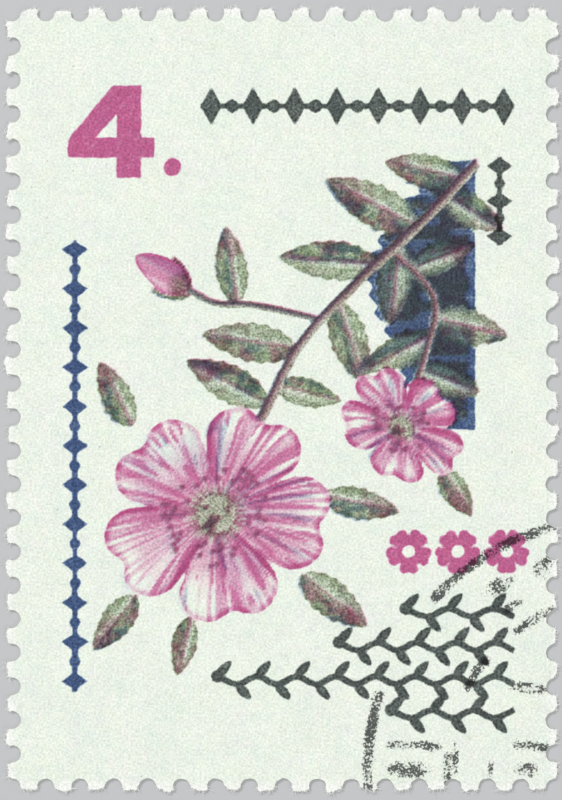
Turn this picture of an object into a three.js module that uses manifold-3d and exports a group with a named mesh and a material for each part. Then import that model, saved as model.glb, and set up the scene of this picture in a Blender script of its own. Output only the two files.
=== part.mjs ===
// A used postage stamp lying flat with its printed face up, in millimetres.
// +X runs to the right of the print, +Y to its top edge and +Z out of the printed face.
// The origin is on the underside, under the middle of the sheet.
//
// From the bottom up the stamp is a film of gum, a sheet of paper and films of printing ink.
// The sheet was torn from its neighbours along rows of punched holes, so each edge is a row of
// teeth with ragged tips between half holes, and each corner is bitten by a quarter hole.

import * as THREE from "three";
import { mergeVertices } from "three/addons/utils/BufferGeometryUtils.js";
import Module from "manifold-3d";

const wasm = await Module();
wasm.setup();

// Thickness of each layer
const GUM = 0.02;
const PAPER = 0.1;
const INK = 0.02;

// Perforation: pitches along each edge, distance between opposite rows of holes, hole size, and
// how far each pin stood from its true place
const PITCHES = { across: 16, down: 23 };
const ROWS_APART = { across: 26, down: 37.1 };
const HOLE_RADIUS = 0.45;
const HOLE_STEPS = 8;
const PIN_SCATTER = 0.015;

// How far the torn teeth reach past the middle of the holes, on each edge, and how unevenly
const TEAR = { bottom: 0.11, right: 0.1, top: 0.13, left: 0.2 };
const TEAR_UNEVEN = 0.06;
const TEAR_POINTS = 2;
const SEED = 12;

// The printed spray: a large and a small open blossom, a bud, a stem with two branches, leaves
const LARGE_BLOSSOM = { at: [-3.2, -5.5], radius: 5.6, squash: 0.93, tilt: 20, turn: 8 };
const SMALL_BLOSSOM = { at: [5.7, -1.3], radius: 3.2, squash: 0.8, tilt: -35, turn: 40 };
const PETALS = { count: 5, root: 0.54, roundness: 3.2, notch: 0.1, notchWidth: 0.22 };
const CENTRE = { share: 0.2, crimp: 0.12, crimps: 9 };
const BUD = { at: [-4.6, 5.3], angle: 148, length: 2.9, width: 1.7 };
const STEM_WIDTH = 0.42;
const BRANCH_WIDTH = 0.3;
const STEM = [[9.3, 11.3], [6.9, 8.7], [3.7, 5.7], [0.9, 2.7], [-0.9, -0.7], [-2.2, -3]];
const BRANCHES = [
  [[5.2, 7.2], [7.3, 4.9], [6.9, 2.2], [6.1, 0]],
  [[1.9, 3.8], [-1.3, 4.5], [-3.2, 4.6], [-4.7, 5.4]],
];
const LEAVES = [
  { at: [6.5, 8.2], angle: 152, length: 5, width: 2.2 },
  { at: [4.6, 6.5], angle: 176, length: 4.8, width: 2 },
  { at: [7.9, 9.8], angle: -33, length: 3.2, width: 1.5 },
  { at: [2.6, 4.7], angle: -72, length: 4.2, width: 1.9 },
  { at: [0.7, 2.4], angle: 171, length: 4.6, width: 2 },
  { at: [7.2, 3.9], angle: -14, length: 3.7, width: 1.8 },
  { at: [-2.2, 4.6], angle: 98, length: 3.7, width: 1.6 },
  { at: [0.9, -8.4], angle: -38, length: 4, width: 1.9 },
  { at: [-7, -9.4], angle: -128, length: 3.3, width: 1.6 },
  { at: [-4.4, -10.4], angle: -103, length: 2.9, width: 1.3 },
  { at: [-7.2, -1.3], angle: 117, length: 3.5, width: 1.6 },
  { at: [-0.7, -0.2], angle: 152, length: 4.4, width: 1.9 },
  { at: [-0.3, 0.7], angle: -14, length: 3.2, width: 1.5 },
  { at: [6.9, 3], angle: -152, length: 3.5, width: 1.6 },
  { at: [6.2, 6.3], angle: 21, length: 3.1, width: 1.4 },
  { at: [7.6, -3.3], angle: -58, length: 2.7, width: 1.4 },
  { at: [8.5, 10.6], angle: 168, length: 3.7, width: 1.7 },
  { at: [5.6, 7.5], angle: -97, length: 3.9, width: 1.7 },
  { at: [6.6, 1.5], angle: -22, length: 3.1, width: 1.4 },
  { at: [1.9, -4.6], angle: -12, length: 3.8, width: 1.6 },
  { at: [-4.4, 5], angle: 172, length: 1.9, width: 0.7 },
  { at: [-4.4, 5.2], angle: 118, length: 1.9, width: 0.7 },
];
const LEAF_EDGE = { teeth: 7, stepsPerTooth: 2, valley: 0.86, bite: 0.26, bulge: 0.8, blunt: 0.75 };

// The dark patch behind the spray: a straight right edge and a left edge of brush strokes
const PATCH = { right: 9.3, top: 11.5, strokes: 15, stroke: 0.86, least: 1.6, most: 5.2, varied: 0.25 };
const STROKE_END = { inset: 0.1, tip: 0.2 };

// The plain numeral 4: its lower left corner, its size, the strokes of its stem and bar, where
// they stand, and the height and width of the hole between them; and the dot after it
const NUMERAL = {
  at: [-10.3, 10.6],
  height: 4.4,
  width: 4.1,
  stem: { left: 2.33, right: 3.48 },
  bar: { low: 0.97, high: 1.89 },
  slant: { low: 1.79, high: 2.13 },
  hole: { left: 1.28, high: 3.05 },
};
const NUMERAL_DOT = { at: [-5.3, 11.1], radius: 0.42 };

// Ornaments: chains of lozenges and discs on a thin rule, small blossoms and leafy vines
const RULE = 0.22;
const TOP_CHAIN = { from: [-3.9, 14.05], to: [11.1, 14.05], beads: 15, lozenge: [0.5, 0.9], disc: 0.31 };
const LEFT_CHAIN = { from: [-9.85, 7.7], to: [-9.85, -13.9], beads: 23, lozenge: [0.42, 0.6], disc: 0.26 };
const RIGHT_CHAIN = { from: [10.4, 11.6], to: [10.4, 7.4], beads: 5, lozenge: [0.4, 0.6], disc: 0.25 };
const FLORETS = { first: [6, -7.3], step: 2.35, count: 3, radius: 1.1, turn: 18, hole: 0.33 };
const VINES = { right: 11.1, top: -10.2, step: 1.62, lengths: [5.2, 8.4, 14.2, 5.9] };
const VINE = { width: 0.27, swing: 0.2, bend: 0.95, disc: 0.3 };
const VINE_LEAF = { length: 0.96, width: 0.5, angle: 48 };

// The cancelling mark of a round date stamp: arcs and bars, each as its two end angles in
// degrees with its radius, or its two end points, and its stroke
const MARK = { at: [16.2, -17.7], radius: 12.1, stroke: 0.34, inner: 8.3, innerStroke: 0.24 };
const MARK_ARCS = { outer: [[103, 137], [163, 186]], inner: [[113, 127], [141, 152], [176, 184]] };
const MARK_BARS = [[[5.1, -16.5], [7.4, -16.6]], [[11.2, -16.5], [12.6, -16.7]]];

const COLOURS = {
  gum: 0xe9e2cc,
  paper: 0xecf2e6,
  pink: 0xbe638f,
  green: 0x8c9b6c,
  blue: 0x4a5a7b,
  grey: 0x555d5a,
  black: 0x33363a,
};

const materials = Object.fromEntries(
  Object.entries(COLOURS).map(([name, color]) => [
    name,
    new THREE.MeshStandardMaterial({ name, color, roughness: name === "gum" ? 0.35 : 0.85, metalness: 0 }),
  ]),
);

// Seeded random numbers from 0 to 1
function randomFrom(seed) {
  let state = seed >>> 0;
  return () => {
    state = (state + 0x6d2b79f5) >>> 0;
    let t = Math.imul(state ^ (state >>> 15), 1 | state);
    t = (t + Math.imul(t ^ (t >>> 7), 61 | t)) ^ t;
    return ((t ^ (t >>> 14)) >>> 0) / 2 ** 32;
  };
}

const degrees = THREE.MathUtils.degToRad;
const point = (x, y) => new THREE.Vector2(x, y);

// The outline of the torn sheet, anticlockwise, moved so that its bounding box is centred
function sheetOutline() {
  const random = randomFrom(SEED);
  const half = point(ROWS_APART.across / 2, ROWS_APART.down / 2);
  const edges = [
    { start: point(-half.x, -half.y), along: point(1, 0), out: point(0, -1), tear: TEAR.bottom },
    { start: point(half.x, -half.y), along: point(0, 1), out: point(1, 0), tear: TEAR.right },
    { start: point(half.x, half.y), along: point(-1, 0), out: point(0, 1), tear: TEAR.top },
    { start: point(-half.x, half.y), along: point(0, -1), out: point(-1, 0), tear: TEAR.left },
  ];
  for (const edge of edges) {
    const horizontal = edge.along.x !== 0;
    edge.count = horizontal ? PITCHES.across : PITCHES.down;
    edge.pitch = (horizontal ? ROWS_APART.across : ROWS_APART.down) / edge.count;
    edge.teeth = Array.from({ length: edge.count }, () =>
      [0, 1].map(() => edge.tear + TEAR_UNEVEN * (2 * random() - 1)),
    );
  }
  const outline = [];
  const place = (edge, distance, outward) =>
    edge.start.clone().addScaledVector(edge.along, distance).addScaledVector(edge.out, outward);

  // One hole's wall, from the tooth before it to the tooth after it, round its inner side
  function addHole(edge, distance, tearBefore, tearAfter, quarterTurns) {
    const from = -Math.asin(tearBefore / HOLE_RADIUS);
    const to = (quarterTurns * Math.PI) / 2 + Math.asin(tearAfter / HOLE_RADIUS);
    const steps = Math.round((HOLE_STEPS * quarterTurns) / 2);
    const [astray, aside] = [0, 1].map(() => PIN_SCATTER * (2 * random() - 1));
    for (let i = 0; i <= steps; i++) {
      const angle = from + ((to - from) * i) / steps;
      const back = HOLE_RADIUS * Math.cos(angle);
      const inward = HOLE_RADIUS * Math.sin(angle);
      outline.push(place(edge, distance - back + astray, aside - inward));
    }
  }

  // The ragged tip of one tooth, between the walls of two holes
  function addTear(edge, index) {
    const [before, after] = edge.teeth[index];
    const start = index * edge.pitch + Math.sqrt(HOLE_RADIUS ** 2 - before ** 2);
    const end = (index + 1) * edge.pitch - Math.sqrt(HOLE_RADIUS ** 2 - after ** 2);
    for (let i = 1; i <= TEAR_POINTS; i++) {
      const share = i / (TEAR_POINTS + 1);
      const tear = THREE.MathUtils.lerp(before, after, share);
      const ragged = tear + TEAR_UNEVEN * (2 * random() - 1);
      outline.push(place(edge, THREE.MathUtils.lerp(start, end, share), ragged));
    }
  }

  edges.forEach((edge, k) => {
    const next = edges[(k + 1) % edges.length];
    for (let i = 0; i < edge.count; i++) {
      addTear(edge, i);
      const last = i === edge.count - 1;
      const tearAfter = last ? next.teeth[0][0] : edge.teeth[i + 1][0];
      addHole(edge, (i + 1) * edge.pitch, edge.teeth[i][1], tearAfter, last ? 1 : 2);
    }
  });
  const middle = new THREE.Box2().setFromPoints(outline).getCenter(point(0, 0));
  return outline.map((p) => p.sub(middle));
}

// A closed outline, with any holes, as a solid film of the given thickness from z up
function film(outline, thickness, z = 0, holes = []) {
  const shape = new THREE.Shape(outline);
  shape.holes = holes.map((hole) => new THREE.Path(hole));
  const geometry = new THREE.ExtrudeGeometry(shape, { depth: thickness, bevelEnabled: false });
  geometry.translate(0, 0, z);
  return geometry;
}

const inkFilm = (outline, holes = []) => film(outline, INK, GUM + PAPER, holes);

function solidOf(geometry) {
  const bare = geometry.clone();
  bare.deleteAttribute("normal");
  bare.deleteAttribute("uv");
  const merged = mergeVertices(bare, 1e-4);
  return new wasm.Manifold(
    new wasm.Mesh({
      numProp: 3,
      vertProperties: merged.attributes.position.array,
      triVerts: new Uint32Array(merged.index.array),
    }),
  );
}

function geometryOf(solid) {
  const { vertProperties, triVerts } = solid.getMesh();
  return new THREE.BufferGeometry()
    .setAttribute("position", new THREE.BufferAttribute(vertProperties, 3))
    .setIndex(new THREE.BufferAttribute(triVerts, 1));
}

const union = (geometries) => geometries.map(solidOf).reduce((all, one) => all.add(one));

// A closed curve round a blossom's middle, whose reach depends on the angle, seen at a tilt
function roundBlossom({ at, squash = 1, tilt = 0, turn = 0 }, steps, reach) {
  return Array.from({ length: steps }, (_, i) => {
    const share = i / steps;
    const p = point(reach(share), 0).rotateAround(point(0, 0), 2 * Math.PI * share + degrees(turn));
    p.y *= squash;
    return p.rotateAround(point(0, 0), degrees(tilt)).add(point(...at));
  });
}

// The outline of five heart-shaped petals
function petalOutline(blossom, steps = 100) {
  return roundBlossom(blossom, steps, (share) => {
    const across = (((share * PETALS.count) % 1) - 0.5) * 2;
    const lobe = Math.sqrt(1 - Math.abs(across) ** PETALS.roundness);
    const notch = PETALS.notch * Math.exp(-((across / PETALS.notchWidth) ** 2));
    return blossom.radius * (PETALS.root + (1 - PETALS.root) * lobe - notch);
  });
}

// The crimped outline of the blossom's middle
function centreOutline(blossom, steps = 36) {
  const { share: size, crimp, crimps } = CENTRE;
  return roundBlossom(blossom, steps, (share) => {
    return blossom.radius * size * (1 + crimp * Math.cos(2 * Math.PI * crimps * share));
  });
}

// A pointed leaf with toothed edges, from its base along its midrib
function leafOutline({ at, angle, length, width }) {
  const { teeth, stepsPerTooth, valley, bite, bulge, blunt } = LEAF_EDGE;
  const steps = teeth * stepsPerTooth;
  const side = (sign) =>
    Array.from({ length: steps - 1 }, (_, i) => {
      const along = (i + 1) / steps;
      const tooth = (along * teeth) % 1;
      const plain = Math.sin(Math.PI * along ** bulge) ** blunt;
      return point(along * length, (sign * width * plain * (valley + bite * tooth)) / 2);
    });
  const outline = [point(0, 0), ...side(-1), point(length, 0), ...side(1).reverse()];
  return outline.map((p) => p.rotateAround(point(0, 0), degrees(angle)).add(point(...at)));
}

// A bud: an egg-shaped outline, pointed at its tip
function budOutline({ at, angle, length, width }, steps = 22) {
  const outline = Array.from({ length: steps }, (_, i) => {
    const turn = (i / steps) * 2 * Math.PI;
    const along = (1 - Math.cos(turn)) / 2;
    return point(along * length, (width / 2) * Math.sin(turn) * (1.12 - 0.5 * along));
  });
  return outline.map((p) => p.rotateAround(point(0, 0), degrees(angle)).add(point(...at)));
}

// A line of even width along a smooth curve through the given points
function strokeOutline(points, width, steps = 16) {
  const curve = new THREE.SplineCurve(points.map((p) => point(...p)));
  const sides = [1, -1].map((sign) =>
    Array.from({ length: steps + 1 }, (_, i) => {
      const tangent = curve.getTangent(i / steps);
      const normal = point(-tangent.y, tangent.x);
      return curve.getPoint(i / steps).addScaledVector(normal, (sign * width) / 2);
    }),
  );
  return [...sides[1], ...sides[0].reverse()];
}

function discOutline([x, y], radius, sides) {
  return Array.from({ length: sides }, (_, i) => {
    const angle = (i / sides) * 2 * Math.PI;
    return point(x + radius * Math.cos(angle), y + radius * Math.sin(angle));
  });
}

// Lozenges and discs in turn, strung on a thin rule; a lozenge is half its size along and across
function chain({ from, to, beads, lozenge: [halfAlong, halfAcross], disc }) {
  const [start, end] = [point(...from), point(...to)];
  const along = end.clone().sub(start).normalize();
  const across = point(-along.y, along.x);
  const rule = strokeOutline([from, start.clone().lerp(end, 0.5).toArray(), to], RULE, 1);
  const pieces = [inkFilm(rule)];
  for (let i = 0; i < beads; i++) {
    const centre = start.clone().lerp(end, (i + 0.5) / beads);
    const outline =
      i % 2 === 0
        ? [
            centre.clone().addScaledVector(along, -halfAlong),
            centre.clone().addScaledVector(across, -halfAcross),
            centre.clone().addScaledVector(along, halfAlong),
            centre.clone().addScaledVector(across, halfAcross),
          ]
        : discOutline(centre.toArray(), disc, 8);
    pieces.push(inkFilm(outline));
  }
  return geometryOf(union(pieces));
}

// A waving vine with a leaf at each bend, above and below in turn, and a disc at its left end
function vine(right, y, length) {
  const { width, swing, bend, disc } = VINE;
  const bends = Math.round(length / bend);
  const step = length / bends;
  const bendAt = (i) => [right - length + i * step, y + (i % 2 === 0 ? swing : -swing)];
  const bendPoints = Array.from({ length: bends + 1 }, (_, i) => bendAt(i));
  const leaves = bendPoints.slice(0, -1).map((at, i) => {
    const angle = i % 2 === 0 ? VINE_LEAF.angle : -VINE_LEAF.angle;
    return budOutline({ ...VINE_LEAF, at, angle }, 8);
  });
  const outlines = [
    strokeOutline(bendPoints, width, bends * 3),
    discOutline(bendAt(0), disc, 8),
    ...leaves,
  ];
  return geometryOf(union(outlines.map((outline) => inkFilm(outline))));
}

// One stroke of the cancelling mark along a circle round its middle
function markArc(radius, stroke, [from, to]) {
  const degreesPerStep = 6;
  const steps = Math.ceil((to - from) / degreesPerStep);
  const points = Array.from({ length: steps + 1 }, (_, i) => {
    const angle = degrees(from + ((to - from) * i) / steps);
    return [MARK.at[0] + radius * Math.cos(angle), MARK.at[1] + radius * Math.sin(angle)];
  });
  return strokeOutline(points, stroke, 2 * steps);
}

// The numeral 4: a stem, a crossbar and a slanting stroke round a three-cornered hole
function numeral() {
  const { at, height, width, stem, bar, slant, hole } = NUMERAL;
  const corners = [
    [stem.left, 0], [stem.right, 0], [stem.right, bar.low], [width, bar.low], [width, bar.high],
    [stem.right, bar.high], [stem.right, height], [slant.high, height], [0, slant.low],
    [0, bar.low], [stem.left, bar.low],
  ];
  const holeCorners = [[stem.left, bar.high], [stem.left, hole.high], [hole.left, bar.high]];
  const placed = (points) => points.map(([x, y]) => point(at[0] + x, at[1] + y));
  return inkFilm(placed(corners), [placed(holeCorners)]);
}

// The patch's outline: level strokes one under the other, each with its own length
function patchOutline() {
  const random = randomFrom(SEED + 1);
  const { right, top, strokes, stroke, least, most, varied } = PATCH;
  const { inset, tip } = STROKE_END;
  const outline = [point(right, top)];
  for (let i = 0; i < strokes; i++) {
    const [high, low] = [top - i * stroke, top - (i + 1) * stroke];
    const swell = Math.sin((Math.PI * (i + 0.5)) / strokes);
    const left = right - least - (most - least) * swell * (1 - varied * random());
    outline.push(point(left, high - inset));
    outline.push(point(left - tip, (high + low) / 2));
    outline.push(point(left + inset, low + inset));
  }
  outline.push(point(right, top - strokes * stroke));
  return outline.reverse();
}

const stamp = new THREE.Group();
stamp.name = "postage_stamp";

function add(name, geometry, material) {
  const mesh = new THREE.Mesh(geometry, materials[material]);
  mesh.name = name;
  stamp.add(mesh);
}

// A solid that cuts have left in several pieces: each piece over 0.3 mm2 is its own mesh
function addPieces(name, solid, material) {
  const leastVolume = 0.3 * INK;
  const pieces = solid
    .decompose()
    .filter((piece) => piece.volume() > leastVolume)
    .sort((a, b) => b.volume() - a.volume());
  pieces.forEach((piece, i) => {
    add(pieces.length > 1 ? `${name}_${i + 1}` : name, geometryOf(piece), material);
  });
}

const outline = sheetOutline();
add("gum_film", film(outline, GUM), "gum");
add("paper_sheet", film(outline, PAPER, GUM), "paper");

const bud = inkFilm(budOutline(BUD));
const blossoms = union([...[LARGE_BLOSSOM, SMALL_BLOSSOM].map((b) => inkFilm(petalOutline(b))), bud]);
const foliage = union([
  inkFilm(strokeOutline(STEM, STEM_WIDTH)),
  ...BRANCHES.map((branch) => inkFilm(strokeOutline(branch, BRANCH_WIDTH))),
  ...LEAVES.map((leaf) => inkFilm(leafOutline(leaf))),
]).subtract(blossoms);
for (const [size, blossom] of Object.entries({ large: LARGE_BLOSSOM, small: SMALL_BLOSSOM })) {
  const centre = centreOutline(blossom);
  add(`${size}_blossom_ink`, inkFilm(petalOutline(blossom), [centre]), "pink");
  add(`${size}_centre_ink`, inkFilm(centre), "green");
}
add("bud_ink", bud, "pink");
addPieces("foliage_ink", foliage, "green");
addPieces("patch_ink", solidOf(inkFilm(patchOutline())).subtract(foliage).subtract(blossoms), "blue");

add("numeral_ink", numeral(), "pink");
add("numeral_dot_ink", inkFilm(discOutline(NUMERAL_DOT.at, NUMERAL_DOT.radius, 16)), "pink");
add("top_chain_ink", chain(TOP_CHAIN), "grey");
add("left_chain_ink", chain(LEFT_CHAIN), "blue");
add("right_chain_ink", chain(RIGHT_CHAIN), "grey");
for (let i = 0; i < FLORETS.count; i++) {
  const { first, step, radius, turn, hole } = FLORETS;
  const at = [first[0] + i * step, first[1]];
  const petals = petalOutline({ at, radius, turn }, 50);
  add(`floret_ink_${i + 1}`, inkFilm(petals, [discOutline(at, hole, 10)]), "pink");
}
VINES.lengths.forEach((length, i) => {
  add(`vine_ink_${i + 1}`, vine(VINES.right, VINES.top - i * VINES.step, length), "grey");
});

// The mark lies over the print, and stands here only where the paper is bare
const markStrokes = [
  ...MARK_ARCS.outer.map((ends) => markArc(MARK.radius, MARK.stroke, ends)),
  ...MARK_ARCS.inner.map((ends) => markArc(MARK.inner, MARK.innerStroke, ends)),
  ...MARK_BARS.map(([from, to]) => strokeOutline([from, to], MARK.innerStroke, 1)),
];
const print = union(stamp.children.filter((mesh) => mesh.name.includes("_ink")).map((mesh) => mesh.geometry));
const mark = union(markStrokes.map((stroke) => inkFilm(stroke)));
addPieces("postmark_ink", mark.intersect(solidOf(inkFilm(outline))).subtract(print), "black");

export default stamp;
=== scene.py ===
import math

import bpy
import numpy as np
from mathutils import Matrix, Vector
from mathutils.geometry import delaunay_2d_cdt


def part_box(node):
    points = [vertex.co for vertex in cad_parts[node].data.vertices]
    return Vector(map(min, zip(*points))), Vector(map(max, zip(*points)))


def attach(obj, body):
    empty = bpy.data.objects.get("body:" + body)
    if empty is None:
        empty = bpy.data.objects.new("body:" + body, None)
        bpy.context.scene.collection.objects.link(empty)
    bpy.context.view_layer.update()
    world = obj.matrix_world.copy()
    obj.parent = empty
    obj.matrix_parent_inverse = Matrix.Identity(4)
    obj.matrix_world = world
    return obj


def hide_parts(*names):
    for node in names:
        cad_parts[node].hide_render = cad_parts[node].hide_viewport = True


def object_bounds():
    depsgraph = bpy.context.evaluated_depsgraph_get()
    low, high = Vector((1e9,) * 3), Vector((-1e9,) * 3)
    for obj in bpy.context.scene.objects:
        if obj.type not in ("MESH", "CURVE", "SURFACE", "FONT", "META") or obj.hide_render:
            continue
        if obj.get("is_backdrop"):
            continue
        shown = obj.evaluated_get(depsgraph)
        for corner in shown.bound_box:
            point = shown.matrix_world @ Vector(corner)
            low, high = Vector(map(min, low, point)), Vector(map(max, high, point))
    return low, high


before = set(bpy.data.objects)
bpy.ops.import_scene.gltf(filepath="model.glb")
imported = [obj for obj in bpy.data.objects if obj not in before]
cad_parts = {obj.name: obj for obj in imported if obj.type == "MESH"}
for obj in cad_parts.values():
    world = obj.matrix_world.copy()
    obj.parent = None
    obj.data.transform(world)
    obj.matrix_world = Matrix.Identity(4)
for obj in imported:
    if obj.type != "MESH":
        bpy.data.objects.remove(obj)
cad_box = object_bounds()

# Design lengths are in millimetres, and every mesh is made in metres
MM = 0.001
SHEET_LOW, SHEET_TOP = 0.02, 0.12

# The printed spray, as in the part's source
BLOSSOMS = [
    {"at": (-3.2, -5.5), "radius": 5.6, "squash": 0.93, "tilt": 20, "turn": 8, "stamens": 54},
    {"at": (5.7, -1.3), "radius": 3.2, "squash": 0.8, "tilt": -35, "turn": 40, "stamens": 32},
]
PETALS = {"count": 5, "root": 0.54, "roundness": 3.2, "notch": 0.1, "notch_width": 0.22}
# A blossom's middle and its stamens: distances as shares of its radius, and how far stamens bend
MIDDLE_EDGE = (0.215, 0.185)
STAMENS = {"start": 0.17, "shortest": 0.27, "longest": 0.47, "bend": 0.06, "seed": 31}
BUD = {"at": (-4.6, 5.3), "angle": 148, "length": 2.9}
STEM = [(9.3, 11.3), (6.9, 8.7), (3.7, 5.7), (0.9, 2.7), (-0.9, -0.7), (-2.2, -3)]
BRANCHES = [
    [(5.2, 7.2), (7.3, 4.9), (6.9, 2.2), (6.1, 0)],
    [(1.9, 3.8), (-1.3, 4.5), (-3.2, 4.6), (-4.7, 5.4)],
]
STEM_WIDTH = 0.42
BRANCH_WIDTH = 0.3
# Each leaf: the place of its base, the direction of its midrib, its length and its width
LEAVES = [
    ((6.5, 8.2), 152, 5, 2.2),
    ((4.6, 6.5), 176, 4.8, 2),
    ((7.9, 9.8), -33, 3.2, 1.5),
    ((2.6, 4.7), -72, 4.2, 1.9),
    ((0.7, 2.4), 171, 4.6, 2),
    ((7.2, 3.9), -14, 3.7, 1.8),
    ((-2.2, 4.6), 98, 3.7, 1.6),
    ((0.9, -8.4), -38, 4, 1.9),
    ((-7, -9.4), -128, 3.3, 1.6),
    ((-4.4, -10.4), -103, 2.9, 1.3),
    ((-7.2, -1.3), 117, 3.5, 1.6),
    ((-0.7, -0.2), 152, 4.4, 1.9),
    ((-0.3, 0.7), -14, 3.2, 1.5),
    ((6.9, 3), -152, 3.5, 1.6),
    ((6.2, 6.3), 21, 3.1, 1.4),
    ((7.6, -3.3), -58, 2.7, 1.4),
    ((8.5, 10.6), 168, 3.7, 1.7),
    ((5.6, 7.5), -97, 3.9, 1.7),
    ((6.6, 1.5), -22, 3.1, 1.4),
    ((1.9, -4.6), -12, 3.8, 1.6),
    ((-4.4, 5), 172, 1.9, 0.7),
    ((-4.4, 5.2), 118, 1.9, 0.7),
]
LEAF_BULGE, LEAF_BLUNT = 0.8, 0.75
VEINS_PER_SIDE = 5.5

# The dark patch behind the spray, brushed in level strokes from its straight right edge
PATCH = {"right": 9.3, "top": 11.5, "strokes": 15, "stroke": 0.86, "least": 1.6, "most": 5.2}
PATCH_VARIED = 0.25
PATCH_SEED = 13

# The cancelling mark: arcs as their end angles, and bars as their end points
MARK = {"at": (16.2, -17.7), "outer": 12.1, "stroke": 0.34, "inner": 8.3, "inner_stroke": 0.24}
OUTER_ARCS = [(103, 137), (163, 186)]
INNER_ARCS = [(113, 127), (141, 152), (176, 184)]
MARK_BARS = [((5.1, -16.5), (7.4, -16.6)), ((11.2, -16.5), (12.6, -16.7))]
# Smudges inside the mark: place, half length, half width and direction of each
MARK_SMUDGES = [
    ((10.4, -8.9), 0.85, 0.4, 30),
    ((10.9, -9.95), 0.7, 0.24, 28),
    ((12.5, -8.0), 0.6, 0.45, 60),
    ((11.8, -13.8), 1.0, 0.3, -5),
    ((6.0, -17.7), 1.25, 0.42, -4),
    ((11.7, -17.7), 0.65, 0.38, -12),
    ((8.3, -17.2), 0.16, 0.85, 0),
    ((10.0, -17.6), 0.14, 0.5, 0),
]

# How far each printing plate lies from its true place
REGISTER = {(0.05, 0.03): ["pink"], (0, 0): ["green", "grey"], (-0.08, -0.05): ["blue"]}

# Light that a full layer of each ink lets through, as a share of what the paper returns
INKS = {
    "pink": (0.602, 0.125, 0.33),
    "green": (0.23, 0.30, 0.175),
    "blue": (0.056, 0.095, 0.245),
    "grey": (0.077, 0.089, 0.092),
}
MARK_INK = (0.075, 0.078, 0.082)
# The most ink that a plate lays, as a share of a full layer
MOST_INK = 1.2
PAPER_COLOUR = (0.813, 0.866, 0.779)
TORN_WHITE = (0.91, 0.915, 0.885)

# Distances to outlines are worked out up to this one
FAR = 1.5
# How far paint is laid past each kind of outline, where the edge of the ink then cuts it
SPILL = {"foliage": 0.1, "stroke": 0.05, "picture": 0.08, "solid": 0.12}


def hashed(column, row, seed):
    """A random number from 0 to 1 for each pair of whole numbers."""
    value = column.astype(np.int64) * 374761393 + row.astype(np.int64) * 668265263
    value = (value + seed * 974634777) & 0xFFFFFFFF
    value = ((value ^ (value >> 13)) * 1274126177) & 0xFFFFFFFF
    value = ((value ^ (value >> 16)) * 2246822519) & 0xFFFFFFFF
    return ((value ^ (value >> 15)) & 0xFFFFFF) / float(0x1000000)


def noise(x, y, seed):
    """Smooth noise from 0 to 1, with features of size 1."""
    column, row = np.floor(x), np.floor(y)
    right, up = x - column, y - row
    right, up = right * right * (3 - 2 * right), up * up * (3 - 2 * up)
    low = hashed(column, row, seed) * (1 - right) + hashed(column + 1, row, seed) * right
    high = hashed(column, row + 1, seed) * (1 - right) + hashed(column + 1, row + 1, seed) * right
    return low * (1 - up) + high * up


def smooth(start, end, value):
    """From 0 at start to 1 at end, with soft ends. Start may be the larger."""
    share = np.clip((value - start) / (end - start), 0, 1)
    return share * share * (3 - 2 * share)


def turned(x, y, at, angle):
    """Places as seen from a point, with the first axis along the given direction."""
    turn = math.radians(angle)
    dx, dy = x - at[0], y - at[1]
    return dx * math.cos(turn) + dy * math.sin(turn), dy * math.cos(turn) - dx * math.sin(turn)


def rim_edges(name):
    """The directed edges round a CAD node's upper face, in millimetres: start and end points."""
    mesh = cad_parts[name].data
    mesh.calc_loop_triangles()
    points = np.array([v.co for v in mesh.vertices]) / MM
    merged, index = np.unique(np.round(points, 5), axis=0, return_inverse=True)
    triangles = index.ravel()[np.array([t.vertices for t in mesh.loop_triangles])]
    top = merged[:, 2].max()
    upper = triangles[np.all(merged[triangles, 2] > top - 0.001, axis=1)]
    edges = {(int(a), int(b)) for tri in upper for a, b in zip(tri, np.roll(tri, -1))}
    rim = np.array(sorted(edge for edge in edges if edge[::-1] not in edges))
    return merged[rim][:, :, :2]


def signed_distance(x, y, edges):
    """Distance to the outline that the edges make, below 0 inside it, and at most FAR."""
    found = np.full(x.shape, FAR)
    low = edges.reshape(-1, 2).min(0) - FAR
    high = edges.reshape(-1, 2).max(0) + FAR
    near = (x > low[0]) & (x < high[0]) & (y > low[1]) & (y < high[1])
    px, py = x[near], y[near]
    nearest = np.full(px.shape, FAR**2)
    inside = np.zeros(px.shape, bool)
    for (ax, ay), (bx, by) in edges:
        dx, dy = bx - ax, by - ay
        share = np.clip(((px - ax) * dx + (py - ay) * dy) / (dx * dx + dy * dy + 1e-12), 0, 1)
        nearest = np.minimum(nearest, (px - ax - share * dx) ** 2 + (py - ay - share * dy) ** 2)
        if ay != by:
            inside ^= ((ay > py) != (by > py)) & (px < ax + (py - ay) * dx / dy)
    found[near] = np.where(inside, -1, 1) * np.sqrt(nearest)
    return found


rims = {name: rim_edges(name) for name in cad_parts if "_ink" in name}


def distance_to(x, y, *starts):
    """The least signed distance to the ink nodes whose names start with one of the given words."""
    chosen = [edges for name, edges in rims.items() if name.startswith(starts)]
    return np.minimum.reduce([signed_distance(x, y, edges) for edges in chosen])


def closed(points):
    """The edges of a closed outline through the points."""
    points = np.array(points)
    return np.stack([points, np.roll(points, -1, axis=0)], 1)


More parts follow.
